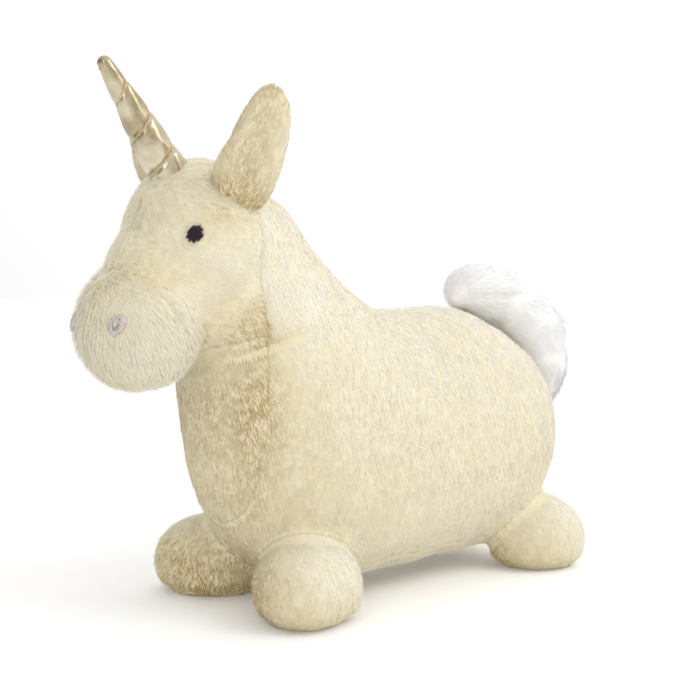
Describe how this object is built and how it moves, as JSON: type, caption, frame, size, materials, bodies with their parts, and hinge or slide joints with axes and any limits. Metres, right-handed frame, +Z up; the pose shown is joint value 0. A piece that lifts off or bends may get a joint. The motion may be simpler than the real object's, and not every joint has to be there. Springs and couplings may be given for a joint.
{
  "type": "ride-on plush unicorn",
  "caption": "Stuffed-look hopping animal in cream plush over an inflated bladder, with a soft spiral horn, thick ears to hold, stub legs and a fluffy tail.",
  "frame": {"origin": "middle of the footprint box, on the floor under the soles", "axes": "+Z up; the unicorn faces -Y and its left side is +X"},
  "size_m": [0.2506, 0.6114, 0.4991],
  "materials": {
    "cream_plush": "soft short-pile plush",
    "bladder_pvc": "smooth semi-gloss PVC",
    "label": "woven, blank",
    "stuffing": "loose polyester filling",
    "ear_lining_plush": "short-pile plush",
    "eye_thread": "satin stitch",
    "sole_plush": "short-pile plush",
    "horn_foil": "metallic champagne-gold foil cloth",
    "horn_thread": "gold thread",
    "nostril_thread": "satin stitch",
    "tail_plush": "long-pile plush",
    "valve_pvc": "moulded PVC",
    "eyelet": "stitched ring",
    "valve_plug": "moulded",
    "zipper_metal": "nickel plated",
    "zipper_teeth": "nylon",
    "zipper_tape": "woven tape"
  },
  "bodies": {
    "trunk": {"belly_cover_left": "cream_plush", "belly_cover_right": "cream_plush", "bladder": "bladder_pvc", "care_label": "label", "chest_cover": "cream_plush", "eye_left": "eye_thread", "eye_right": "eye_thread", "front_foot_cover_left": "cream_plush", "front_foot_cover_right": "cream_plush", "front_sole_left": "sole_plush", "front_sole_right": "sole_plush", "head_cover_left": "cream_plush", "head_cover_right": "cream_plush", "hind_foot_cover_left": "cream_plush", "hind_foot_cover_right": "cream_plush", "hind_sole_left": "sole_plush", "hind_sole_right": "sole_plush", "muzzle_cover": "cream_plush", "muzzle_stuffing": "stuffing", "nostril_left": "nostril_thread", "nostril_right": "nostril_thread", "side_cover_left": "cream_plush", "side_cover_right": "cream_plush", "valve_boss": "valve_pvc", "valve_eyelet": "eyelet", "zipper_stop_front": "zipper_teeth", "zipper_stop_rear": "zipper_teeth", "zipper_tape_left": "zipper_tape", "zipper_tape_right": "zipper_tape", "zipper_teeth_left": "zipper_teeth", "zipper_teeth_right": "zipper_teeth"},
    "ear_left": {"ear_back_left": "cream_plush", "ear_core_left": "stuffing", "ear_lining_left": "ear_lining_plush"},
    "ear_right": {"ear_back_right": "cream_plush", "ear_core_right": "stuffing", "ear_lining_right": "ear_lining_plush"},
    "horn": {"horn_cover": "horn_foil", "horn_stuffing": "stuffing", "horn_thread": "horn_thread"},
    "tail": {"tail_cord": "tail_plush", "tail_core": "stuffing", "tail_pile_left": "tail_plush", "tail_pile_right": "tail_plush"},
    "zipper_slider": {"zipper_slider": "zipper_metal"},
    "zipper_pull": {"zipper_pull": "zipper_metal"},
    "valve_plug": {"valve_plug": "valve_plug"}
  },
  "joints": [
    {"name": "ear_left_flex", "type": "hinge", "parent": "trunk", "child": "ear_left", "pos_m": [0.06, -0.18619, 0.382], "axis": [0.573, 0.7748, -0.2672], "range_deg": [-14, 14], "stiffness_Nm_per_rad": 0.6},
    {"name": "ear_right_flex", "type": "hinge", "parent": "trunk", "child": "ear_right", "pos_m": [-0.06, -0.18619, 0.382], "axis": [0.573, -0.7748, 0.2672], "range_deg": [-14, 14], "stiffness_Nm_per_rad": 0.6},
    {"name": "horn_flex", "type": "hinge", "parent": "trunk", "child": "horn", "pos_m": [0, -0.21219, 0.396], "axis": [1, 0, 0], "range_deg": [-12, 12], "stiffness_Nm_per_rad": 0.5},
    {"name": "tail_lift", "type": "hinge", "parent": "trunk", "child": "tail", "pos_m": [0, 0.13981, 0.283], "axis": [1, 0, 0], "range_deg": [0, 70]},
    {"name": "zipper_slide", "type": "slide", "parent": "trunk", "child": "zipper_slider", "axis": [0, 1, 0], "range_m": [0, 0.151]},
    {"name": "zipper_pull_swing", "type": "hinge", "parent": "zipper_slider", "child": "zipper_pull", "pos_m": [0, -0.07169, 0.0144], "axis": [1, 0, 0], "range_deg": [-80, 80]},
    {"name": "valve_plug_pull", "type": "slide", "parent": "trunk", "child": "valve_plug", "axis": [0, 0, -1], "range_m": [0, 0.014]}
  ]
}
